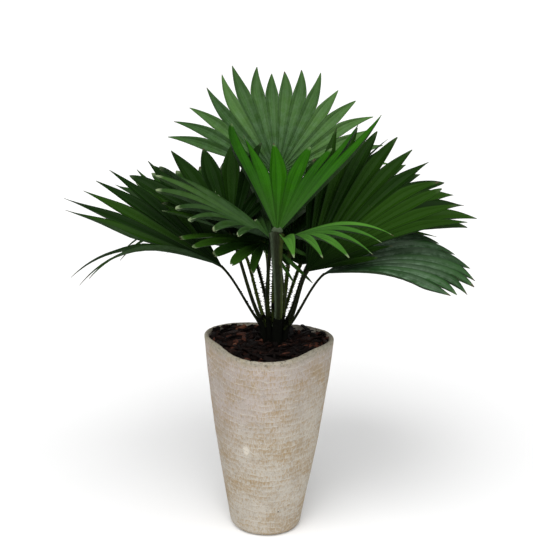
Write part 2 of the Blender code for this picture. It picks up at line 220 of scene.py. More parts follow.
class MulchLook(bpy.types.PropertyGroup):
    """Colours and sizes of the bark mulch."""

    earth: colour("Earth", "Moist potting mix", (0.002, 0.0015, 0.0012))
    dark: colour("Dark bark", "Most of the chips", (0.0045, 0.0026, 0.0022))
    brown: colour("Brown bark", "Drier chips", (0.014, 0.0062, 0.0045))
    red: colour("Red bark", "Fresh inner bark", (0.060, 0.021, 0.013))
    pale: colour("Pale wood", "A few split chips", (0.14, 0.055, 0.03))
    chip_length: length("Chip length", "Length of a middling chip", 0.023)
    chips: bpy.props.IntProperty(name="Chips", description="Number of bark chips", default=760, min=0)


class StalkLook(bpy.types.PropertyGroup):
    """Colours and sizes of the stalks and the crown base."""

    dark: colour("Dark", "Skin of most stalks", (0.0032, 0.0050, 0.0024))
    olive: colour("Olive", "Lighter side of a stalk", (0.040, 0.060, 0.008))
    grey: colour("Grey scurf", "Scurf on the youngest stalk and at its blade", (0.070, 0.096, 0.058))
    red: colour("Red brown", "Blush on the youngest stalk", (0.015, 0.019, 0.007))
    fibre: colour("Fibre", "Dry sheaths at the crown base", (0.0026, 0.0032, 0.0016))
    thorn: colour("Thorn", "Thorn tips", (0.005, 0.004, 0.0025))
    thorn_length: length("Thorn length", "Length of a middling thorn", 0.0040)
    thorn_step: length("Thorn step", "Distance from one thorn to the next", 0.0080)


class LeafLook(bpy.types.PropertyGroup):
    """Colours and sizes of the fan blades."""

    fresh: colour("Fresh", "Upper side of the youngest leaf", (0.0115, 0.080, 0.0006))
    strip: colour("Strip", "Narrow leaflets at the front", (0.036, 0.140, 0.014))
    pale: colour("Pale", "Low leaf under the youngest one", (0.020, 0.062, 0.009))
    green: colour("Green", "Upper side of middling leaves", (0.0130, 0.050, 0.0035))
    deep: colour("Deep", "Upper side of the oldest leaves", (0.0080, 0.0330, 0.0018))
    # Painted shade: a darker copy of the deep green for the leaf at the upper left, which lies in shade.
    dark: colour("Dark", "Shaded leaf at the upper left", (0.0048, 0.0215, 0.0012))
    # Paler tint of the youngest leaves by their stalks; the other leaves are darkened there instead, as painted
    # shade.
    hub_tint_and_shade: colour("Heart", "Youngest leaves close to their stalks", (0.024, 0.072, 0.009))
    # Top leaf: its own green made lighter and greyer, as painted sheen where it faces the light.
    silver: colour("Silver", "Leaf with a grey bloom", (0.040, 0.110, 0.024))
    # Dark green of the large right leaf; its bluish sheen is painted, as highlight lines from the bloom in
    # blade_finish.
    gloss: colour("Gloss", "Large leaf with a bluish sheen", (0.0085, 0.047, 0.0060))
    # The leaves' underside green, darkened as painted shade under the blades.
    under: colour("Underside", "Underside of every leaf", (0.0125, 0.034, 0.0085))
    tip: colour("Pale tip", "Bleached ends of blunt leaflets", (0.22, 0.28, 0.15))
    dry: colour("Dry tip", "Withered leaflet tips", (0.085, 0.075, 0.04))
    thread: colour("Thread", "Withered threads between leaflets", (0.035, 0.036, 0.02))
    thickness: length("Thickness", "Thickness of a blade", 0.0008)
    pleat: bpy.props.FloatProperty(
        name="Pleat", description="Rise of a pleat as a share of its width", default=0.34, min=0, max=1
    )


class PalmLook(bpy.types.PropertyGroup):
    """All that a user may change."""

    pot: bpy.props.PointerProperty(type=PotLook, name="Pot", description="Look of the pot")
    mulch: bpy.props.PointerProperty(type=MulchLook, name="Mulch", description="Look of the mulch")
    stalk: bpy.props.PointerProperty(type=StalkLook, name="Stalks", description="Look of the stalks")
    leaf: bpy.props.PointerProperty(type=LeafLook, name="Leaves", description="Look of the leaves")


def unit(vector):
    """The vector, or each row of it, at length one."""
    return vector / np.linalg.norm(vector, axis=-1, keepdims=True)


def smooth(share):
    """Eases a share from 0 to 1."""
    share = np.clip(share, 0, 1)
    return share * share * (3 - 2 * share)


def grain(turns, heights, around, upward, seed):
    """Smooth noise from -1 to 1 over a wrapped grid of cells. Turns and heights run from 0 to 1."""
    table = np.random.default_rng(seed).uniform(-1, 1, (upward + 2, around))
    x = turns * around
    y = np.clip(heights, 0, 1) * upward
    column = np.floor(x).astype(int)
    row = np.floor(y).astype(int)
    across = smooth(x - column)
    along = smooth(y - row)
    low = table[row, column % around] * (1 - across) + table[row, (column + 1) % around] * across
    row = row + 1
    high = table[row, column % around] * (1 - across) + table[row, (column + 1) % around] * across
    return low * (1 - along) + high * along


class Parts:
    """Gathers many small shapes, with one or two pairs of UVs and material numbers, into one mesh."""

    def __init__(self):
        self.points = []
        self.faces = []
        self.uvs = []
        self.slots = []
        self.count = 0

    def grid(self, points, uvs=None, slots=0, wrap=False, caps=False):
        """Adds rows by columns of points as quads. Wrap closes each row into a ring."""
        rows, columns = points.shape[:2]
        index = self.count + np.arange(rows * columns).reshape(rows, columns)
        if uvs is None:
            uvs = np.zeros((rows, columns, 2))
        if wrap:
            index = np.hstack([index, index[:, :1]])
            uvs = np.concatenate([uvs, uvs[:, :1]], axis=1)
        corners = ((0, 0), (0, 1), (1, 1), (1, 0))
        high, wide = index.shape
        pick = [(slice(r, high - 1 + r), slice(c, wide - 1 + c)) for r, c in corners]
        quads = np.stack([index[p] for p in pick], axis=-1)
        self.points.append(points.reshape(-1, 3))
        self.faces += quads.reshape(-1, 4).tolist()
        self.uvs.append(np.stack([uvs[p] for p in pick], axis=2).reshape(-1, uvs.shape[-1]))
        self.slots.append(np.broadcast_to(slots, quads.shape[:2]).reshape(-1))
        if caps:
            for ring in (index[0, :columns][::-1], index[-1, :columns]):
                self.faces.append(ring.tolist())
                self.uvs.append(np.zeros((columns, uvs.shape[-1])))
                self.slots.append(np.broadcast_to(self.slots[-1][:1], 1))
        self.count += rows * columns

    def build(self, name, materials, weld=0.0, sharp=None):
        """Makes one object of all the shapes."""
        mesh = bpy.data.meshes.new(name)
        mesh.from_pydata(np.vstack(self.points), [], self.faces)
        pairs = np.vstack(self.uvs).astype(np.float32)
        for k, title in enumerate(("UVMap", "Leaflet")[: pairs.shape[1] // 2]):
            layer = mesh.uv_layers.new(name=title)
            layer.data.foreach_set("uv", pairs[:, 2 * k : 2 * k + 2].ravel())
        mesh.polygons.foreach_set("material_index", np.concatenate(self.slots).astype(np.int32))
        for material in materials:
            mesh.materials.append(material)
        if weld:
            work = bmesh.new()
            work.from_mesh(mesh)
            bmesh.ops.remove_doubles(work, verts=work.verts, dist=weld)
            work.to_mesh(mesh)
            work.free()
        mesh.shade_smooth()
        if sharp:
            mesh.set_sharp_from_angle(angle=sharp)
        piece = bpy.data.objects.new(name, mesh)
        bpy.context.scene.collection.objects.link(piece)
        return piece


def dress(piece, slot, *nodes):
    """Lets a piece ride on the plant and has it stand for its solids. Its slot is not used."""
    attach(piece, "root")
    if nodes:
        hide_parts(*nodes)


def tube(route, radii, sides, across):
    """Rings of points round a route, where across is the first ring's direction at angle zero."""
    tangent = unit(np.gradient(route, axis=0))
    rings = []
    normal = across
    for place, ahead, radius in zip(route, tangent, radii):
        normal = unit(normal - ahead * (normal @ ahead))
        side = np.cross(ahead, normal)
        turn = np.linspace(0, 2 * math.pi, sides, endpoint=False)[:, None]
        rings.append(place + (np.cos(turn) * normal + np.sin(turn) * side) * np.reshape(radius, (-1, 1)))
    return np.array(rings)


class Wire:
    """An output socket in a material. Arithmetic on it adds Math nodes."""

    def __init__(self, tree, socket=None):
        self.tree = tree
        self.socket = socket

    def node(self, kind, settings=None, inputs=None, output=0):
        """Adds a node: its settings first, then the values or links of its sockets."""
        made = self.tree.nodes.new(kind)
        for name, value in (settings or {}).items():
            if name == "stops":
                for i, (place, shade) in enumerate(value):
                    stop = made.color_ramp.elements[i] if i < 2 else made.color_ramp.elements.new(place)
                    stop.position = place
                    stop.color = shade
            else:
                setattr(made, name, value)
        for name, value in (inputs or {}).items():
            if isinstance(value, Wire):
                self.tree.links.new(value.socket, made.inputs[name])
            else:
                made.inputs[name].default_value = value
        return Wire(self.tree, made.outputs[output])

    def math(self, operation, *values):
        """A Math node of this operation."""
        return self.node("ShaderNodeMath", {"operation": operation}, dict(enumerate(values)))

    def vector(self, operation, *values, output=0):
        """A Vector Math node of this operation."""
        return self.node("ShaderNodeVectorMath", {"operation": operation}, dict(enumerate(values)), output)

    def __add__(self, other):
        return self.math("ADD", self, other)

    __radd__ = __add__

    def __sub__(self, other):
        return self.math("SUBTRACT", self, other)

    def __rsub__(self, other):
        return self.math("SUBTRACT", other, self)

    def __mul__(self, other):
        return self.math("MULTIPLY", self, other)

    __rmul__ = __mul__

    def __truediv__(self, other):
        return self.math("DIVIDE", self, other)

    def __pow__(self, other):
        return self.math("POWER", self, other)

    def between(self, low, high):
        """This value's place between two others, from 0 to 1, eased."""
        settings = {"interpolation_type": "SMOOTHSTEP"}
        return self.node("ShaderNodeMapRange", settings, {"Value": self, "From Min": low, "From Max": high})

    def mix(self, low, high):
        """The colour between two, by this share."""
        low, high = (c if isinstance(c, Wire) else (*c, 1.0) for c in (low, high))
        return self.node("ShaderNodeMix", {"data_type": "RGBA"}, {0: self, 6: low, 7: high}, 2)

    def scaled(self, x, y, z):
        """This vector, stretched along its axes."""
        return self.vector("MULTIPLY", self, (x, y, z))

    def noise(self, scale, detail=3.0, roughness=0.55):
        """Cloudy noise over this vector."""
        inputs = {"Vector": self, "Scale": scale, "Detail": detail, "Roughness": roughness}
        return self.node("ShaderNodeTexNoise", {}, inputs)

    def cells(self, feature, scale, output):
        """Voronoi cells over this vector."""
        return self.node("ShaderNodeTexVoronoi", {"feature": feature}, {"Vector": self, "Scale": scale}, output)

    def bump(self, strength, distance):
        """A normal that this height bends."""
        inputs = {"Strength": strength, "Distance": distance, "Height": self}
        return self.node("ShaderNodeBump", {}, inputs)


def begin(name):
    """A new material: its Principled shader, object coordinates and UVs."""
    material = bpy.data.materials.new(name)
    material.use_nodes = True
    tree = material.node_tree
    shader = tree.nodes["Principled BSDF"]
    place = Wire(tree).node("ShaderNodeTexCoord", output="Object")
    sheet = Wire(tree).node("ShaderNodeUVMap", {"uv_map": "UVMap"})
    return material, shader, place, sheet


def feed(shader, **inputs):
    """Sets or links sockets of a shader, named with underscores for spaces."""
    for name, value in inputs.items():
        socket = shader.inputs[name.replace("_", " ")]
        if isinstance(value, Wire):
            value.tree.links.new(value.socket, socket)
        elif socket.type == "RGBA":
            socket.default_value = (*value, 1.0)
        else:
            socket.default_value = value


def clay_finish(look):
    """Fibre clay: a pale bloom over tan, tooled in courses of short upright strokes."""
    material, shader, place, _ = begin("pot_clay")
    x, y, z = (place.node("ShaderNodeSeparateXYZ", {}, {0: place}, output=k) for k in range(3))
    rise = z / POT_HEIGHT
    height = z + (place.noise(6.0, 2.0) - 0.5) * 0.016 + (place.noise(45.0, 3.0, 0.6) - 0.5) * 0.014
    step = height / look.course
    course = step.math("FLOOR", step)
    within = step - course
    shift = place.node("ShaderNodeCombineXYZ", {}, {0: course * 3.7, 1: course * 1.9, 2: course * 5.3})
    strokes = place.vector("ADD", place.scaled(270, 270, 80), shift).noise(1.0, 3.0, 0.65)
    patches = place.scaled(1.0, 1.0, 1.5).noise(9.0, 5.0, 0.68)
    speckle = place.noise(520.0, 3.0, 0.7)
    wear = patches * 1.25 + strokes * 1.15 + speckle * 0.90 - rise * 0.05 + within * 0.15
    wear = wear.between(1.56, 2.02)
    cool = (rise + (place.noise(5.0, 2.0) - 0.5) * 0.7 - x * 1.8).between(0.35, 0.95)
    shade = (place.noise(14.0, 4.0, 0.65)).between(0.35, 0.70) * 0.35
    colour_ = wear.mix(cool.mix(look.chalk, look.lilac), look.tan)
    colour_ = shade.mix(colour_, tuple(c * 0.72 for c in look.chalk))
    ridge = within.between(0.20, 0.0) + within.between(0.88, 1.0)
    ridge = ridge * place.scaled(1.0, 1.0, 2.0).noise(34.0, 4.0, 0.7).between(0.40, 0.62)
    colour_ = (ridge * 0.40).mix(colour_, look.lime)
    rim = (z + (place.noise(26.0) - 0.5) * 0.026).between(POT_HEIGHT - 0.024, POT_HEIGHT + 0.002)
    colour_ = (rim * 0.75).mix(colour_, look.olive)
    warped = place.vector("ADD", place.scaled(1.0, 1.0, 1.9), (0.31, 0.17, 0.43))
    scratch = warped.cells("DISTANCE_TO_EDGE", 9.0, "Distance").between(0.008, 0.0)
    scratch = scratch * place.noise(8.0, 1.0).between(0.54, 0.62)
    colour_ = (scratch * 0.55).mix(colour_, look.lime)
    away = place.vector("SUBTRACT", place, WHITE_SPOT)
    spot = away.vector("LENGTH", away.scaled(1.0, 1.0, 0.75), output=1) + (speckle - 0.5) * 0.004
    colour_ = (spot.between(0.011, 0.0065) * 0.9).mix(colour_, look.lime)
    chosen = place.cells("F1", 62.0, "Color")
    hole = place.cells("F1", 62.0, "Distance").between(0.20, 0.10) * chosen.math("GREATER_THAN", chosen, 0.86)
    crumb = (speckle * 0.8 + place.noise(150.0, 2.0) * 0.4).between(0.58, 0.42)
    colour_ = (hole * 0.9 + crumb * (rim * 0.4 + 0.45)).mix(colour_, look.pit)
    relief = strokes * 0.8 + speckle * 0.6 - hole * 1.5 + ridge * 0.35 - wear * 0.4 - crumb * rim
    feed(
        shader,
        Base_Color=colour_,
        Roughness=0.84 + wear * 0.10,
        Normal=relief.bump(0.8, 0.0016),
        Specular_IOR_Level=0.15,
    )
    return material


def bark_finish(name, tint, moist):
    """Splintered bark, with lengthwise fibres and darker cracks."""
    material, shader, place, sheet = begin(name)
    fibres = sheet.scaled(16.0, 2.2, 1.0).noise(3.0, 4.0, 0.6)
    blotch = place.noise(95.0, 3.0, 0.6)
    dark = tuple(c * 0.30 for c in tint)
    light = tuple(min(c * 1.7, 1.0) for c in tint)
    colour_ = (fibres * 0.6 + blotch * 0.5).between(0.32, 0.80).mix(dark, light)
    feed(
        shader,
        Base_Color=colour_,
        Roughness=moist + blotch * 0.25,
        Normal=(fibres + blotch * 0.6).bump(0.7, 0.0012),
        Specular_IOR_Level=0.06,
    )
    return material


def earth_finish(look):
    """Moist, crumbly potting mix."""
    material, shader, place, _ = begin("potting_mix")
    crumbs = place.noise(240.0, 5.0, 0.7)
    clods = place.noise(60.0, 3.0, 0.6)
    bright = tuple(c * 3.2 for c in look.earth)
    colour_ = (crumbs * 0.7 + clods * 0.4).between(0.40, 0.85).mix(look.earth, bright)
    feed(
        shader,
        Base_Color=colour_,
        Roughness=0.75 + crumbs * 0.2,
        Normal=(crumbs + clods).bump(0.8, 0.002),
        Specular_IOR_Level=0.03,
    )
    return material


def stalk_finish(name, look, face, edge, scurf, other=None):
    """Smooth stalk skin: a darker face, lighter edges, fine grooves and patches of scurf."""
    material, shader, place, sheet = begin(name)
    around = sheet.node("ShaderNodeSeparateXYZ", {}, {0: sheet})
    streaks = sheet.scaled(30.0, 3.0, 1.0).noise(2.0, 3.0, 0.55)
    cloud = place.noise(24.0, 3.0, 0.6)
    side = around - 0.5 + (streaks - 0.5) * 0.12
    dark = tuple(c * 0.5 for c in face)
    colour_ = (cloud * 0.6 + streaks * 0.6).between(0.40, 0.85).mix(dark, face)
    colour_ = (side.between(-0.02, 0.12) * cloud.between(0.25, 0.55)).mix(colour_, edge)
    colour_ = (side.between(-0.10, -0.21) * streaks.between(0.30, 0.58)).mix(colour_, other or edge)
    flakes = place.scaled(300.0, 300.0, 90.0).noise(1.0, 3.0, 0.7).between(0.46, 0.70) * scurf
    colour_ = flakes.mix(colour_, tuple(look.grey))
    feed(
        shader,
        Base_Color=colour_,
        Roughness=0.48 + flakes * 0.35 + streaks * 0.1,
        Normal=(streaks + flakes * 0.5).bump(0.5, 0.0006),
        Specular_IOR_Level=0.06,
    )
    return material


def fibre_finish(look):
    """Dry, stringy leaf sheaths."""
    material, shader, place, sheet = begin("sheath_fibre")
    strings = sheet.scaled(30.0, 2.0, 1.0).noise(2.4, 4.0, 0.6)
    colour_ = strings.between(0.35, 0.70).mix(tuple(c * 0.35 for c in look.fibre), look.fibre)
    feed(
        shader,
        Base_Color=colour_,
        Roughness=0.75 + strings * 0.2,
        Normal=strings.bump(0.8, 0.0010),
        Specular_IOR_Level=0.05,
    )
    return material


def blade_finish(name, tint, gloss, shine, bloom, ends, varied, hub_tint_and_shade, rib, look):
    """Living leaf: fine veins along each leaflet, a midrib, blotches, painted shade near the hub, a bloom with
    painted sheen and highlight lines, and bleached ends.
    """
    material, shader, place, sheet = begin(name)
    across, along = (sheet.node("ShaderNodeSeparateXYZ", {}, {0: sheet}, output=k) for k in range(2))
    own = sheet.node("ShaderNodeUVMap", {"uv_map": "Leaflet"})
    reached, luck = (own.node("ShaderNodeSeparateXYZ", {}, {0: own}, output=k) for k in range(2))
    turn = across * (2 * math.pi * 12)
    vein = turn.math("SINE", turn) * 0.5 + 0.5
    streak = sheet.scaled(30.0, 2.4, 1.0).noise(1.0, 3.0, 0.6)
    cloud = place.noise(11.0, 3.0, 0.6)
    dark = tuple(c * 0.55 for c in tint)
    light = tuple(min(c * s, 1.0) for c, s in zip(tint, (1.70, 1.35, 1.4)))
    tone = vein * 0.12 + streak * 0.50 + cloud * 0.55 + (luck - 0.5) * varied + 0.28
    colour_ = tone.between(0.45, 1.20).mix(dark, light)
    centre = across - 0.5
    centre = centre.math("ABSOLUTE", centre)
    ridge = tuple(min(c * rib + 0.002, 1.0) for c in tint)
    colour_ = (centre.between(0.040, 0.0) * 0.50).mix(colour_, ridge)
    colour_ = (centre.between(0.42, 0.49) * 0.60).mix(colour_, tuple(c * 0.35 for c in tint))
    # Towards the hub the youngest leaves turn to their paler tint; all others turn to a darker share of their own
    # tint, which is painted shade of the crown's inside.
    near_tint_and_shade = tuple(look.hub_tint_and_shade) if hub_tint_and_shade > 1 else tuple(c * hub_tint_and_shade for c in tint)
    colour_ = ((along + (cloud - 0.5) * 0.3).between(0.62, 0.05) * 0.75).mix(colour_, near_tint_and_shade)
    # Pale grey-green film, stronger towards the tips: partly a dust bloom, partly painted sheen. With a strong bloom
    # it is kept to painted highlight lines along one side of each pleat.
    dust_and_sheen = place.noise(48.0, 4.0, 0.65).between(0.30, 0.75) * along.between(1.1, 0.45) * bloom
    highlight_band = across.between(0.06, 0.30) * across.between(0.90, 0.58) * streak.between(0.28, 0.52)
    dust_and_sheen = dust_and_sheen * (1 - (1 - highlight_band) * (bloom * 0.85))
    colour_ = dust_and_sheen.mix(colour_, (0.135, 0.215, 0.135))
    spots = place.cells("F1", 90.0, "Distance").between(0.12, 0.05) * place.noise(31.0, 1.0).between(0.55, 0.7)
    colour_ = (spots * 0.5).mix(colour_, tuple(look.dry))
    bleached = (reached + (streak - 0.5) * 0.03).between(0.94, 0.985) * ends
    colour_ = bleached.mix(colour_, tuple(look.tip))
    feed(
        shader,
        Base_Color=colour_,
        Roughness=gloss + streak * 0.10 + dust_and_sheen * 0.25,
        Normal=(vein * 0.30 + streak * 0.7 + centre * 2.0).bump(0.35, 0.0009),
        Specular_IOR_Level=shine,
    )
    return material


def dry_finish(name, tint):
    """Withered leaf tissue and threads."""
    material, shader, place, sheet = begin(name)
    streak = sheet.scaled(20.0, 2.0, 1.0).noise(2.0, 3.0, 0.6)
    colour_ = (streak + place.noise(120.0) * 0.4).between(0.4, 0.95).mix(tuple(c * 0.4 for c in tint), tint)
    feed(
        shader,
        Base_Color=colour_,
        Roughness=0.7 + streak * 0.15,
        Normal=streak.bump(0.4, 0.0006),
        Specular_IOR_Level=0.05,
    )
    return material


def floor_finish():
    """Pale matt studio floor."""
    material, shader, place, _ = begin("studio_floor")
    cloud = place.noise(1.3, 2.0)
    colour_ = cloud.mix((0.87, 0.87, 0.87), (0.89, 0.89, 0.89))
    feed(shader, Base_Color=colour_, Roughness=0.85 + cloud * 0.1, Specular_IOR_Level=0.0)
    return material


def pot_ring(height, inset, sectors=POT_SECTORS):
    """One level ring of the pot: round at the foot, a soft triangle with a waved edge at the rim."""
    rise = min(max(height / POT_HEIGHT, 0.0), 1.0)
    bulge = (1 - POT_BELLY) * rise + POT_BELLY * math.sin(rise * math.pi / 2)
    radius = POT_BASE_RADIUS + (POT_RIM_RADIUS - POT_BASE_RADIUS) * bulge
    turn = np.linspace(0, 2 * math.pi, sectors, endpoint=False)
    corner = np.cos(3 * (turn - CORNER_TURN))
    reach = radius * (1 + CORNER_SWELL * rise * corner) - inset
    lift = -CORNER_DIP * corner * rise**6
    x = reach * np.cos(turn) + RIM_SHIFT * rise
    return np.stack([x, reach * np.sin(turn), height + lift], axis=1)


def make_pot(look):
    """The pot's shell, with an uneven wall and shallow tool marks."""
    lip = POT_WALL / 2
    arc = np.linspace(0, math.pi / 2, LIP_ROWS)
    profile = [(0.0, share) for share in np.linspace(POT_BASE_RADIUS - 0.002, FOOT_ROUNDING, 10)]
    profile += [(FOOT_ROUNDING * (1 - math.cos(a)), FOOT_ROUNDING * (1 - math.sin(a))) for a in arc[1:]]
    side = np.linspace(FOOT_ROUNDING, POT_HEIGHT - lip, POT_ROWS)[1:]
    profile += [(height, 0.0) for height in side]
    turn = np.linspace(0, math.pi, LIP_ROWS * 2)[1:]
    profile += [(POT_HEIGHT - lip + lip * math.sin(a), lip - lip * math.cos(a)) for a in turn]
    inside = np.linspace(POT_HEIGHT - lip, POT_HEIGHT * 0.84, INSIDE_ROWS)[1:]
    profile += [(height, POT_WALL) for height in inside]
    rings = np.array([pot_ring(height, inset) for height, inset in profile])
    levels = np.array([height for height, _ in profile])[:, None] / POT_HEIGHT
    turns = np.linspace(0, 1, POT_SECTORS, endpoint=False)[None, :]
    swell = grain(turns, levels, 7, 6, 3) * 0.6 + grain(turns, levels, 17, 15, 4) * 0.4
    marks = grain(turns, levels, 160, 42, 5) * 0.6 + grain(turns, levels, 60, 42, 6) * 0.4
    outer = np.array([smooth((height - FOOT_ROUNDING) / 0.02) for height, _ in profile])[:, None]
    push = (swell * UNEVENNESS + marks * TOOL_MARK) * outer
    outward = np.stack([np.cos(2 * math.pi * turns), np.sin(2 * math.pi * turns), 0 * turns], axis=-1)
    rings = rings + outward * push[..., None]
    chips = grain(turns, levels, 90, 4, 7) * 0.0005 * smooth((levels - 0.97) / 0.03)
    rings[..., 2] += chips
    parts = Parts()
    uvs = np.stack(np.broadcast_arrays(turns, levels), axis=-1)
    parts.grid(rings, uvs, wrap=True)
    parts.faces.append(list(range(POT_SECTORS))[::-1])
    parts.uvs.append(np.zeros((POT_SECTORS, 2)))
    parts.slots.append(np.zeros(1))
    piece = parts.build("pot_shell", [clay_finish(look)])
    dress(piece, "pot_clay", "pot")


def bed_height(share, x, y):
    """Height of the mulch bed at a share of the way from its middle to the wall."""
    lumps = np.sin(x * 95 + 1.3) * np.cos(y * 83 + 0.4) * 0.0016 + np.sin(x * 41 - y * 57) * 0.0018
    return SOIL_TOP - 0.002 - SOIL_MOUND * np.clip(share * 2 - 1, 0, 1) + lumps


def chip_rings(random, centre, size, wide, thick, spin, tilt, roll):
    """Rings of points round one bark chip: a bowed, ragged splinter."""
    ahead = np.array([math.cos(spin) * math.cos(tilt), math.sin(spin) * math.cos(tilt), math.sin(tilt)])
    side = unit(np.cross(UP, ahead))
    side = side * math.cos(roll) + np.cross(ahead, side) * math.sin(roll)
    above = np.cross(ahead, side)
    bow = random.normal(0, 0.05) * size
    rows = []
    for share in np.linspace(-0.5, 0.5, 7):
        taper = 1 - abs(share * 2) ** 4 * random.uniform(0.15, 0.85)
        half = wide / 2 * taper * random.uniform(0.75, 1.15)
        flat = thick / 2 * random.uniform(0.7, 1.2)
        spine = centre + ahead * size * share + above * (bow * (1 - 4 * share * share))
        spine = spine + side * random.normal(0, 0.03) * size
        ring = [(-half, -flat), (half, -flat), (half * 0.9, flat), (0.0, flat * 1.25), (-half * 0.9, flat)]
        rows.append([spine + side * a + above * b for a, b in ring])
    return np.array(rows)


def make_mulch(look):
    """A bed of potting mix under a layer of bark chips."""
    random = np.random.default_rng(11)
    spokes = 144
    edge = pot_ring(SOIL_TOP, SOIL_CLEARANCE, spokes)
    middle = np.array([RIM_SHIFT, 0.0])
    shares = np.linspace(1.0, 0.02, 46)[:, None]
    x = middle[0] + (edge[None, :, 0] - middle[0]) * shares
    y = middle[1] + (edge[None, :, 1] - middle[1]) * shares
    z = bed_height(shares, x, y) + random.uniform(-0.0012, 0.0012, x.shape)
    skirt = np.stack([x[0], y[0], z[0] - 0.02], axis=-1)[None]
    parts = Parts()
    parts.grid(np.concatenate([skirt, np.stack([x, y, z], axis=-1)]), wrap=True, caps=True)
    bed = parts.build("mulch_bed", [earth_finish(look)])
    dress(bed, "soil_mulch", "soil")
    chips = Parts()
    for i in range(look.chips):
        turn = random.uniform(0, 2 * math.pi)
        size = look.chip_length * random.choice([0.45, 0.7, 1.0, 1.4, 1.9], p=[0.24, 0.28, 0.26, 0.16, 0.06])
        wide = size * random.uniform(0.22, 0.50)
        thick = random.uniform(0.0016, 0.0050)
        spin = random.uniform(0, math.pi)
        place = edge[int(turn / (2 * math.pi) * spokes) % spokes, :2] - middle
        limit = 1 - (size * 0.5 + 0.003) / np.linalg.norm(place)
        reach = math.sqrt(random.uniform(0.0, 1.0)) * limit
        if random.uniform() < 0.18:
            reach = limit + (1 - limit) * 0.55
            spin = turn + math.pi / 2 + random.normal(0, 0.2)
        flat = middle + place * reach
        height = bed_height(reach, *flat) + random.uniform(0.0, 0.008)
        centre = np.array([*flat, height])
        rings = chip_rings(random, centre, size, wide, thick, spin, random.normal(0, 0.22), random.normal(0, 0.35))
        kind = random.choice(4, p=[0.68, 0.24, 0.07, 0.01])
        lengthwise = np.linspace(0, size * 40, len(rings))
        uvs = np.stack(np.meshgrid(np.linspace(0, 1, rings.shape[1]), lengthwise), axis=-1)
        chips.grid(rings, uvs + random.uniform(0, 9, 2), kind, wrap=True, caps=True)
    tints = (("bark_dark", look.dark), ("bark_brown", look.brown), ("bark_red", look.red), ("bark_pale", look.pale))
    finishes = [bark_finish(name, tuple(tint), 0.42) for name, tint in tints]
    piece = chips.build("bark_chips", finishes, sharp=math.radians(35))
    dress(piece, "soil_mulch")


def blade_frame(leaf):
    """Directions of a blade at its hub: along the middle leaflet, to its right, and off its face."""
    azimuth = math.radians(leaf.azimuth)
    elevation = math.radians(leaf.elevation)
    roll = math.radians(leaf.roll)
    level = np.array([math.cos(azimuth), math.sin(azimuth), 0.0])
    middle = level * math.cos(elevation) + UP * math.sin(elevation)
    face = unit(UP - middle * (UP @ middle))
    right = np.cross(middle, face)
    return (
        middle,
        right * math.cos(roll) - face * math.sin(roll),
        face * math.cos(roll) + right * math.sin(roll),
    )


def surface(leaf, angles, sags, distances):
    """Points of a blade at these angles and distances from its hub, all arrays of one shape."""
    middle, right, face = blade_frame(leaf)
    angles, sags, distances = (np.asarray(a, float)[..., None] for a in (angles, sags, distances))
    opening = np.abs(angles)
    lift = math.radians(leaf.fold) * np.tanh(opening / FOLD_ROUNDING)
    wing = np.copysign(np.cos(lift), angles) * right + np.sin(lift) * face
    start = np.cos(opening) * middle + np.sin(opening) * wing
    cup = math.radians(leaf.cup) * (opening / math.pi) ** 1.5
    start = start * np.cos(cup) + face * np.sin(cup)
    shares = np.linspace(0, LONGEST_SHARE, RAY_STEPS)[:, None]
    heading = unit(start[..., None, :] - UP * (sags[..., None] * shares**2))
    path = np.cumsum((heading[..., 1:, :] + heading[..., :-1, :]) / 2, axis=-2)
    path = np.concatenate([np.zeros((*path.shape[:-2], 1, 3)), path], axis=-2)
    step = leaf.radius * float(shares[1, 0])
    place = distances / step
    low = np.clip(place.astype(int), 0, RAY_STEPS - 2)
    part = place - low
    before = np.take_along_axis(path, low[..., None], axis=-2)[..., 0, :]
    after = np.take_along_axis(path, low[..., None] + 1, axis=-2)[..., 0, :]
    return np.array(leaf.hub) + (before + (after - before) * part) * step


def leaflets(leaf):
    """Angle, half angle, length, joined length, sag and swing of each leaflet, cut to its solid's reach."""
    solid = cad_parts["fan_" + leaf.name]
    tree = BVHTree.FromPolygons(
        [v.co[:] for v in solid.data.vertices], [p.vertices[:] for p in solid.data.polygons]
    )
    left = -math.radians(leaf.left)
    right = math.radians(leaf.right)
    count = round((right - left) / math.radians(leaf.step))
    step = (right - left) / count
    own = OWN_TIPS.get(leaf.name, ((0.0, 1.0),) * count)
    rows = []
    for i in range(count):
        angle = left + (i + 0.5) * step
        opening = abs(angle) / math.pi
        reach = leaf.radius * (1 - (1 - leaf.basal) * opening**1.5)
        reach *= 1 + LENGTH_WAVE * math.sin(2.4 * i + 10 * leaf.radius)
        joined = leaf.joined * (1 - (1 - BASAL_JOINED) * opening)
        edge = i if leaf.strands > 0 else count - 1 - i
        loose = max(0.0, 1 - (edge / leaf.strands) ** 4) if leaf.strands else 0.0
        joined += (STRAND_JOINED - joined) * loose
        reach *= (1 - (1 - STRAND_LENGTH) * loose) * own[i][1]
        joined *= reach
        sag = leaf.sag + STRAND_SAG * loose
        swing = own[i][0] * step
        for _ in range(MOST_TRIMS):
            tip = surface(leaf, angle + swing, sag, reach)
            found = tree.find_nearest(Vector(tip))
            if found[3] is not None and found[3] < NEAR_SOLID:
                break
            reach = max(reach * TRIM, SHORTEST)
        joined = min(joined, reach * MOST_JOINED)
        rows.append([angle, step / 2, reach, joined, sag, swing])
    return rows


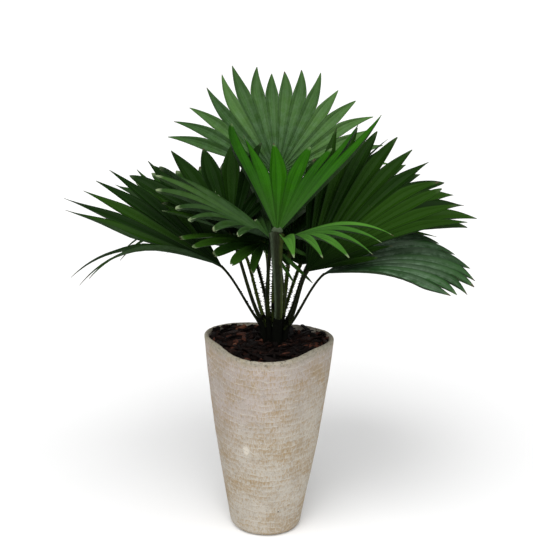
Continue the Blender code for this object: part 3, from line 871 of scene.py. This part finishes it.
def relief(leaf, look, angles, sags, distances, columns, width):
    """Points of a pleated blade, where width is half a leaflet's, with the directions there."""
    small = 0.001
    points = surface(leaf, angles, sags, distances)
    along = surface(leaf, angles, sags, distances + small) - points
    across = surface(leaf, angles + small, sags, distances) - points
    off = unit(np.cross(across, along))
    share = distances / leaf.radius
    outward = np.abs(columns)
    fold = 2 * outward**1.15 - 1 - 0.45 * np.exp(-(((outward - 0.5) / 0.15) ** 2))
    pleat = fold * width * look.pleat * (1.6 - 1.0 * share)
    phase = leaf.hub[0] * 40 + leaf.hub[1] * 23
    ripple = leaf.radius * 0.012 * share**2 * np.sin(3.1 * angles + phase)
    return points + off * (pleat + ripple)[..., None], off, unit(along), unit(across)


def make_blade(leaf, look, finishes, random):
    """One fan: pleated leaflets joined from the hub outwards, then free, with notched tips."""
    rows = leaflets(leaf)
    columns = np.linspace(-1, 1, LEAFLET_COLUMNS)[None, :]
    outward = np.abs(columns)
    joined_steps = np.linspace(0, 1, JOINED_ROWS)[:, None]
    free_steps = np.sin(np.linspace(0, math.pi / 2, FREE_ROWS))[1:, None]
    bluntness = smooth((leaf.blunt - 1.8) / 1.4)
    end_width = 0.30 * bluntness
    power = 0.95 - 0.35 * bluntness
    parts = Parts()
    forks = []
    for i, (angle, half, reach, joined, sag, swing) in enumerate(rows):
        sides = []
        for j in (i - 1, i + 1):
            other = rows[j] if 0 <= j < len(rows) else rows[i]
            sides.append((min(joined, other[3]), (sag + other[4]) / 2))
        edge_joined = np.where(columns < 0, sides[0][0], sides[1][0])
        edge_sag = np.where(columns < 0, sides[0][1], sides[1][1])
        fork = joined + (edge_joined - joined) * outward
        own_sag = sag + (edge_sag - sag) * outward
        distances = HUB_GAP + (fork - HUB_GAP) * joined_steps
        angles = np.broadcast_to(angle + columns * half, distances.shape)
        sags = np.broadcast_to(own_sag, distances.shape)
        inner, *_ = relief(leaf, look, angles, sags, distances, columns, half * distances)
        ended = end_width * random.uniform(0.6, 1.15)
        loose = (sag - leaf.sag) / STRAND_SAG
        narrow = ended + (1 - ended) * (1 - free_steps ** (leaf.blunt + 2 * loose)) ** power
        notch = NOTCH * random.uniform(0.3, 1.3) * (1 - outward) ** 2 * smooth((free_steps - 0.8) / 0.2)
        far = fork + (reach - fork) * free_steps - notch * (0.4 + 1.6 * bluntness)
        sags = own_sag + (sag - own_sag) * smooth(free_steps * 2)
        spread = half * fork / far * narrow + TIP_WIDTH / far
        swing += np.clip(random.normal(0, 0.12), -0.25, 0.25) * half
        turned = angle + columns * spread + swing * free_steps**1.5
        outer, off, along, across = relief(leaf, look, turned, sags, far, columns, spread * far)
        free = reach - joined
        droop, roll = abs(random.normal(0, 0.03)), random.normal(0, 0.42)
        droop += leaf.hang * smooth(-angle - 1.3)
        bow = free_steps**2
        twist = roll * columns * spread * far
        outer = outer - UP * (droop * free * bow)[..., None]
        outer = outer + off * (twist * bow)[..., None]
        reached = np.concatenate([distances, far])
        luck = np.full(reached.shape, random.uniform(0, 1))
        side = np.broadcast_to((columns + 1) / 2, reached.shape)
        uvs = np.stack([side, reached / leaf.radius, reached / reach, luck], axis=-1)
        withered = 1 - random.uniform(-0.03, 0.025) if sag == leaf.sag else random.uniform(0.86, 0.98)
        spent = (reached[:-1, :-1] + reached[1:, 1:]) / 2 > withered * reach
        parts.grid(np.concatenate([inner, outer]), uvs, spent.astype(int))
        if i:
            forks.append((inner[-1, 0], along[0, 0], off[0, 0]))
    piece = parts.build("blade_" + leaf.name, finishes, weld=0.00002, sharp=math.radians(24))
    thicken = piece.modifiers.new("thickness", "SOLIDIFY")
    thicken.thickness = look.thickness
    thicken.offset = -1.0
    thicken.material_offset = 2
    dress(piece, "leaf_blade", "fan_" + leaf.name)
    return forks


def stalk_route(leaf):
    """Middle line of a stalk, from the crown base to its blade's hub, with its inward direction."""
    azimuth = math.radians(leaf.foot_azimuth)
    elevation = math.radians(leaf.foot_elevation)
    level = np.array([math.cos(azimuth), math.sin(azimuth), 0.0])
    leaving = level * math.cos(elevation) + UP * math.sin(elevation)
    foot = CROWN_MIDDLE + leaving * CROWN_RADIUS
    middle, _, face = blade_frame(leaf)
    tip = np.array(leaf.hub) - face * 0.0015
    chord = unit(tip - foot)
    arriving = unit(0.65 * chord + 0.35 * middle)
    reach = np.linalg.norm(tip - foot)
    handles = np.array([foot, foot + leaving * reach * 0.25, tip - arriving * reach * 0.3, tip])
    t = np.linspace(0, 1, STALK_ROWS)[:, None]
    weights = np.hstack([(1 - t) ** 3, 3 * t * (1 - t) ** 2, 3 * t**2 * (1 - t), t**3])
    reach = np.linspace(0, COSTA_LENGTH, COSTA_ROWS + 1)[1:]
    beyond = surface(leaf, 0 * reach, 0 * reach + leaf.sag, reach) - face * 0.0016
    return np.vstack([weights @ handles, beyond]), -level


def make_stalk(leaf, finish, thorns, look, random):
    """One stalk: flat towards the crown, ridged along both edges, with thorns on the ridges."""
    route, inward = stalk_route(leaf)
    rows = len(route)
    share = np.minimum(np.arange(rows) / (STALK_ROWS - 1), 1.0)
    beyond = np.clip((np.arange(rows) - STALK_ROWS + 1) / COSTA_ROWS, 0, 1)
    tip = leaf.girth * STALK_TIP_RADIUS
    foot = leaf.girth * STALK_FOOT_RADIUS
    if leaf.girth > 1.5:
        foot, tip = foot * 0.90, tip * 1.90
    radii = foot + (tip - foot) * share
    radii = radii * (1 + 0.22 * np.exp(-((1 - share) / 0.05)) + 0.30 * np.exp(-share / 0.08))
    radii = radii * (1 - 0.88 * beyond ** (0.8 if leaf.girth < 1.5 else 0.25))
    turn = np.linspace(0, 2 * math.pi, STALK_SIDES, endpoint=False)
    around = np.minimum(turn, 2 * math.pi - turn)
    section = 1 - 0.30 * np.clip(np.cos(turn), 0, 1) ** 2 + 0.14 * np.exp(-(((around - 1.25) / 0.28) ** 2))
    widen = 1 + 0.3 * smooth((share - 0.55) / 0.45)[:, None] * np.abs(np.sin(turn))
    rings = tube(route, radii[:, None] * section[None, :] * widen, STALK_SIDES, inward)
    uvs = np.stack(np.meshgrid(turn / (2 * math.pi), share * 4), axis=-1)
    parts = Parts()
    parts.grid(rings, uvs, wrap=True, caps=True)
    piece = parts.build("petiole_" + leaf.name, [finish], sharp=math.radians(60))
    dress(piece, "stalk_skin", "stalk_" + leaf.name)
    lengths = np.concatenate([[0], np.cumsum(np.linalg.norm(np.diff(route, axis=0), axis=1))])
    for side in (1, -1):
        column = int(round(side * 1.25 / (2 * math.pi) * STALK_SIDES)) % STALK_SIDES
        place = lengths[-1] * 0.07
        while place < lengths[-1] * 0.78:
            spot = np.array([np.interp(place, lengths, rings[:, column, k]) for k in range(3)])
            middle = np.array([np.interp(place, lengths, route[:, k]) for k in range(3)])
            ahead = unit(np.array([np.interp(place + 0.004, lengths, route[:, k]) for k in range(3)]) - middle)
            out = unit(spot - middle)
            size = look.thorn_length * random.uniform(0.6, 1.3) * (1.15 - place / lengths[-1] * 0.6)
            spine = [spot - out * 0.0004, spot + out * size * 0.55, spot + out * size - ahead * size * 0.45]
            width = np.array([0.42, 0.28, 0.04]) * size
            thorns.grid(tube(np.array(spine), width, 5, ahead), wrap=True, caps=True)
            place += look.thorn_step * random.uniform(0.6, 1.5)


def make_crown(look, leaves):
    """The crown base: the sheathing feet of the stalks, which run down side by side into the mulch."""
    random = np.random.default_rng(5)
    centre = np.array([CROWN_SHIFT, 0.0, 0.0])
    parts = Parts()
    turn = np.linspace(0, 2 * math.pi, 24, endpoint=False)
    core = []
    for share in np.linspace(0.0, 1.0, 12):
        radius = 0.026 * (1 - 0.75 * share**2)
        height = SOIL_TOP - 0.006 + 0.050 * share
        core.append(np.stack([radius * np.cos(turn) + CROWN_SHIFT, radius * np.sin(turn), 0 * turn + height], axis=1))
    parts.grid(np.array(core), wrap=True, caps=True)
    for leaf in leaves:
        route, inward = stalk_route(leaf)
        azimuth = math.radians(leaf.foot_azimuth)
        level = np.array([math.cos(azimuth), math.sin(azimuth), 0.0])
        foot = route[0]
        out = np.linalg.norm((foot - centre)[:2])
        ground = centre + level * (out * 0.85 + 0.004) + UP * (SOIL_TOP - 0.006)
        shares = np.linspace(0, 1, SHEATH_ROWS)[:, None]
        lower = (1 - shares) ** 2 * ground + 2 * shares * (1 - shares) * foot + shares**2 * route[9]
        base = STALK_FOOT_RADIUS * leaf.girth
        radii = base * (1.10 + 0.40 * (1 - shares[:, 0]) ** 1.2)
        sides = 14
        around = np.linspace(0, 2 * math.pi, sides, endpoint=False)
        ragged = 1 + 0.05 * np.sin(around * 5 + azimuth)
        rings = tube(lower, radii[:, None] * ragged[None, :], sides, inward)
        uvs = np.stack(np.meshgrid(around / (2 * math.pi), shares[:, 0]), axis=-1)
        parts.grid(rings, uvs, wrap=True, caps=True)
    for _ in range(200):
        angle = random.uniform(0, 2 * math.pi)
        level = np.array([math.cos(angle), math.sin(angle), 0.0])
        side = np.cross(UP, level)
        start = centre + level * random.uniform(0.020, 0.030) + UP * (SOIL_TOP + random.uniform(-0.002, 0.02))
        rise = random.uniform(0.008, 0.030)
        sway = side * random.normal(0, 0.006)
        steps = np.linspace(0, 1, 6)[:, None]
        hair = start + UP * rise * steps + sway * steps**2 - level * 0.008 * steps**1.5
        parts.grid(tube(hair, np.linspace(0.0005, 0.0002, 6), 4, side), wrap=True, caps=True)
    piece = parts.build("crown_sheaths", [fibre_finish(look)], sharp=math.radians(60))
    dress(piece, "crown_fibre", "crown_base")


def make_hastula(leaf, size, finish):
    """The small crest that stands where a blade meets its stalk."""
    middle, right, face = blade_frame(leaf)
    hub = np.array(leaf.hub)
    lift = 0.007
    parts = Parts()
    rows = []
    for share in np.linspace(0, 1, 7):
        width = size * (1 - 0.55 * share**2)
        rise = size * 0.75 * share
        row = []
        for k in np.linspace(-1, 1, 9):
            bow = (1 - k * k) * size * 0.35
            row.append(hub + right * width * k * 0.9 + face * (rise + lift) - middle * (bow - size * 0.25 * share))
        rows.append(row)
    parts.grid(np.array(rows))
    piece = parts.build("crest_" + leaf.name, [finish])
    thicken = piece.modifiers.new("thickness", "SOLIDIFY")
    thicken.thickness = 0.0016
    thicken.offset = 0.0
    dress(piece, "stalk_skin")


def make_basal(leaf, look, finishes):
    """Narrow basal leaflets of a leaf, which hang behind the young leaf's stalk."""
    parts = Parts()
    hub = np.array(leaf.hub)
    columns = np.linspace(-1, 1, LEAFLET_COLUMNS)
    share = np.linspace(0.06, 1, BASAL_ROWS)[:, None]
    for k, (end, width) in enumerate(BASAL_LEAFLETS):
        route = hub + (np.array(end) - hub) * share + UP * BASAL_BOW * np.sin(share * math.pi)
        along = unit(np.gradient(route, axis=0))
        across = unit(np.cross(along, BASAL_FACE))
        face = unit(np.cross(across, along))
        half = width / 2 * np.minimum(1, 0.35 + share * 1.6) * (1 - share**4) ** 0.8 + TIP_WIDTH
        fold = half * (1 - np.abs(columns)) * look.pleat
        points = route[:, None] + across[:, None] * (half * columns)[..., None] + face[:, None] * fold[..., None]
        side = np.broadcast_to((columns + 1) / 2, fold.shape)
        reached = np.broadcast_to(share, fold.shape)
        luck = np.full(fold.shape, 0.3 + 0.2 * k)
        parts.grid(points, np.stack([side, reached, reached, luck], axis=-1))
    piece = parts.build("blade_basal", finishes)
    thicken = piece.modifiers.new("thickness", "SOLIDIFY")
    thicken.thickness = look.thickness
    thicken.offset = -1.0
    thicken.material_offset = 2
    dress(piece, "leaf_blade")


def make_threads(forks, finish):
    """Withered threads that hang from the forks between leaflets."""
    random = np.random.default_rng(23)
    parts = Parts()
    for place, along, off in forks:
        if random.uniform() > 0.24:
            continue
        size = random.uniform(0.010, 0.040)
        if abs(place[0]) < 0.10 and place[1] < 0.05:
            continue
        steps = np.linspace(0, 1, 9)[:, None]
        curl = random.normal(0, 0.5)
        side = unit(np.cross(along, off))
        thread = place - along * 0.004 + along * size * steps + side * curl * size * steps**2
        thread = thread + off * abs(random.normal(0, 0.08)) * size * steps - UP * 0.45 * size * steps**2
        parts.grid(tube(thread, np.linspace(0.00045, 0.00016, 9), 4, off), wrap=True, caps=True)
    piece = parts.build("sinus_threads", [finish])
    dress(piece, "leaf_blade")


def sun(name, direction, strength, spread):
    """A broad soft lamp that shines from a direction, evenly over the whole floor."""
    lamp = bpy.data.lights.new(name, "SUN")
    lamp.energy = strength
    lamp.angle = spread
    holder = bpy.data.objects.new(name, lamp)
    bpy.context.scene.collection.objects.link(holder)
    holder.rotation_euler = Vector(direction).to_track_quat("Z", "Y").to_euler()


class PALM_OT_pot(bpy.types.Operator):
    """Build the pot"""

    bl_idname = "palm.pot"
    bl_label = "Pot"

    def execute(self, context):
        make_pot(context.scene.palm_look.pot)
        return {"FINISHED"}


class PALM_OT_mulch(bpy.types.Operator):
    """Fill the pot with potting mix and bark chips"""

    bl_idname = "palm.mulch"
    bl_label = "Mulch"

    def execute(self, context):
        make_mulch(context.scene.palm_look.mulch)
        return {"FINISHED"}


class PALM_OT_crown(bpy.types.Operator):
    """Build the sheathed crown base"""

    bl_idname = "palm.crown"
    bl_label = "Crown base"

    def execute(self, context):
        make_crown(context.scene.palm_look.stalk, LEAVES)
        return {"FINISHED"}


class PALM_OT_stalks(bpy.types.Operator):
    """Build the thorny leaf stalks"""

    bl_idname = "palm.stalks"
    bl_label = "Stalks"

    def execute(self, context):
        look = context.scene.palm_look.stalk
        random = np.random.default_rng(17)
        dim = tuple(c * 0.22 for c in look.olive)
        old = stalk_finish("stalk_dark", look, tuple(look.dark), dim, 0.04)
        green = stalk_finish("stalk_green", look, tuple(look.dark), tuple(look.olive), 0.05)
        young = stalk_finish("stalk_young", look, tuple(look.red), tuple(look.olive), 0.12, tuple(look.grey))
        thorns = Parts()
        for leaf in LEAVES:
            finish = {"fresh": young, "strip": green, "silver": green, "green": green}.get(leaf.finish, old)
            make_stalk(leaf, finish, thorns, look, random)
        piece = thorns.build("stalk_thorns", [stalk_finish("thorn_horn", look, tuple(look.thorn), dim, 0.0)])
        dress(piece, "stalk_skin")
        make_hastula(LEAVES[0], 0.015, stalk_finish("crest_scurf", look, tuple(look.olive), tuple(look.grey), 0.9))
        return {"FINISHED"}


class PALM_OT_blades(bpy.types.Operator):
    """Build the pleated fan blades and their threads"""

    bl_idname = "palm.blades"
    bl_label = "Fan blades"

    def execute(self, context):
        look = context.scene.palm_look.leaf
        random = np.random.default_rng(29)
        # Each finish: roughness, specular level, bloom (strength of the pale dust with painted sheen, which a strong
        # bloom keeps to painted highlight lines), bleached ends, random tone of each leaflet, hub colour (below 1 a
        # darker share of the tint as painted shade near the hub, above 1 the paler tint of young leaves) and midrib
        # tint factor.
        settings = {
            "fresh": (0.48, 0.05, 0.02, 0.4, 0.15, 2.0, 0.55),
            "strip": (0.44, 0.06, 0.04, 0.8, 0.30, 2.0, 0.70),
            "pale": (0.46, 0.07, 0.08, 0.9, 0.40, 0.90, 1.7),
            "green": (0.44, 0.06, 0.02, 0.5, 0.70, 0.55, 1.6),
            "deep": (0.42, 0.045, 0.0, 0.1, 1.15, 0.24, 1.9),
            "dark": (0.42, 0.05, 0.01, 0.1, 0.60, 0.35, 1.6),
            "silver": (0.48, 0.08, 0.28, 0.1, 0.60, 0.60, 1.5),
            "gloss": (0.34, 0.20, 1.10, 0.2, 0.35, 0.30, 1.5),
            "under": (0.60, 0.06, 0.10, 0.2, 0.40, 0.60, 1.5),
        }
        upper = {
            name: blade_finish("leaf_" + name, tuple(getattr(look, name)), *values, look)
            for name, values in settings.items()
        }
        dry = dry_finish("leaf_dry", tuple(look.dry))
        forks = []
        for leaf in LEAVES:
            made = make_blade(leaf, look, [upper[leaf.finish], dry, upper["under"], dry], random)
            if leaf.finish not in ("fresh", "strip", "pale"):
                forks += made
            if leaf.name == "middle":
                make_basal(leaf, look, [upper["green"], dry, upper["under"], dry])
        make_threads(forks, dry_finish("thread_dry", tuple(look.thread)))
        return {"FINISHED"}


class PALM_OT_stage(bpy.types.Operator):
    """Set the floor, the lights and the camera"""

    bl_idname = "palm.stage"
    bl_label = "Stage"

    def execute(self, context):
        scene = context.scene
        floor = bpy.data.meshes.new("floor")
        work = bmesh.new()
        bmesh.ops.create_grid(work, x_segments=8, y_segments=8, size=90.0)
        work.to_mesh(floor)
        work.free()
        floor.materials.append(floor_finish())
        piece = bpy.data.objects.new("floor", floor)
        scene.collection.objects.link(piece)
        world = bpy.data.worlds.new("studio")
        world.use_nodes = True
        back = world.node_tree.nodes["Background"]
        back.inputs["Color"].default_value = (1.0, 1.0, 1.0, 1.0)
        back.inputs["Strength"].default_value = 0.42
        scene.world = world
        sun("key", (-0.40, -0.80, 1.00), 2.2, math.radians(55))
        sun("fill", (0.50, -0.75, 0.95), 1.5, math.radians(70))
        lens = bpy.data.cameras.new("view")
        lens.sensor_fit = "HORIZONTAL"
        lens.sensor_width = 36.0
        lens.lens = CAMERA_LENS
        camera = bpy.data.objects.new("view", lens)
        turned = Matrix.Rotation(math.pi / 2 - CAMERA_PITCH, 4, "X") @ Matrix.Rotation(CAMERA_ROLL, 4, "Z")
        camera.matrix_world = Matrix.Translation(CAMERA_PLACE) @ turned
        scene.collection.objects.link(camera)
        scene.camera = camera
        scene.view_settings.view_transform = "Standard"
        return {"FINISHED"}


class PALM_PT_panel(bpy.types.Panel):
    """Steps of the palm, in order"""

    bl_idname = "PALM_PT_panel"
    bl_label = "Footstool palm"
    bl_space_type = "VIEW_3D"
    bl_region_type = "UI"
    bl_category = "Palm"

    def draw(self, context):
        for operator in OPERATORS:
            self.layout.operator(operator.bl_idname)
        look = context.scene.palm_look
        for group in (look.pot, look.mulch, look.stalk, look.leaf):
            box = self.layout.box()
            for name in group.__annotations__:
                box.prop(group, name)


OPERATORS = (PALM_OT_pot, PALM_OT_mulch, PALM_OT_crown, PALM_OT_stalks, PALM_OT_blades, PALM_OT_stage)
CLASSES = (PotLook, MulchLook, StalkLook, LeafLook, PalmLook, *OPERATORS, PALM_PT_panel)


def register():
    """Adds the classes and the settings."""
    for made in CLASSES:
        bpy.utils.register_class(made)
    bpy.types.Scene.palm_look = bpy.props.PointerProperty(
        type=PalmLook, name="Palm", description="Look of the palm"
    )


def unregister():
    """Takes the settings and the classes away again."""
    del bpy.types.Scene.palm_look
    for made in reversed(CLASSES):
        bpy.utils.unregister_class(made)


def main():
    """Builds every piece in order."""
    register()
    bpy.ops.palm.pot()
    bpy.ops.palm.mulch()
    bpy.ops.palm.crown()
    bpy.ops.palm.stalks()
    bpy.ops.palm.blades()
    bpy.ops.palm.stage()


if __name__ == "__main__":
    main()
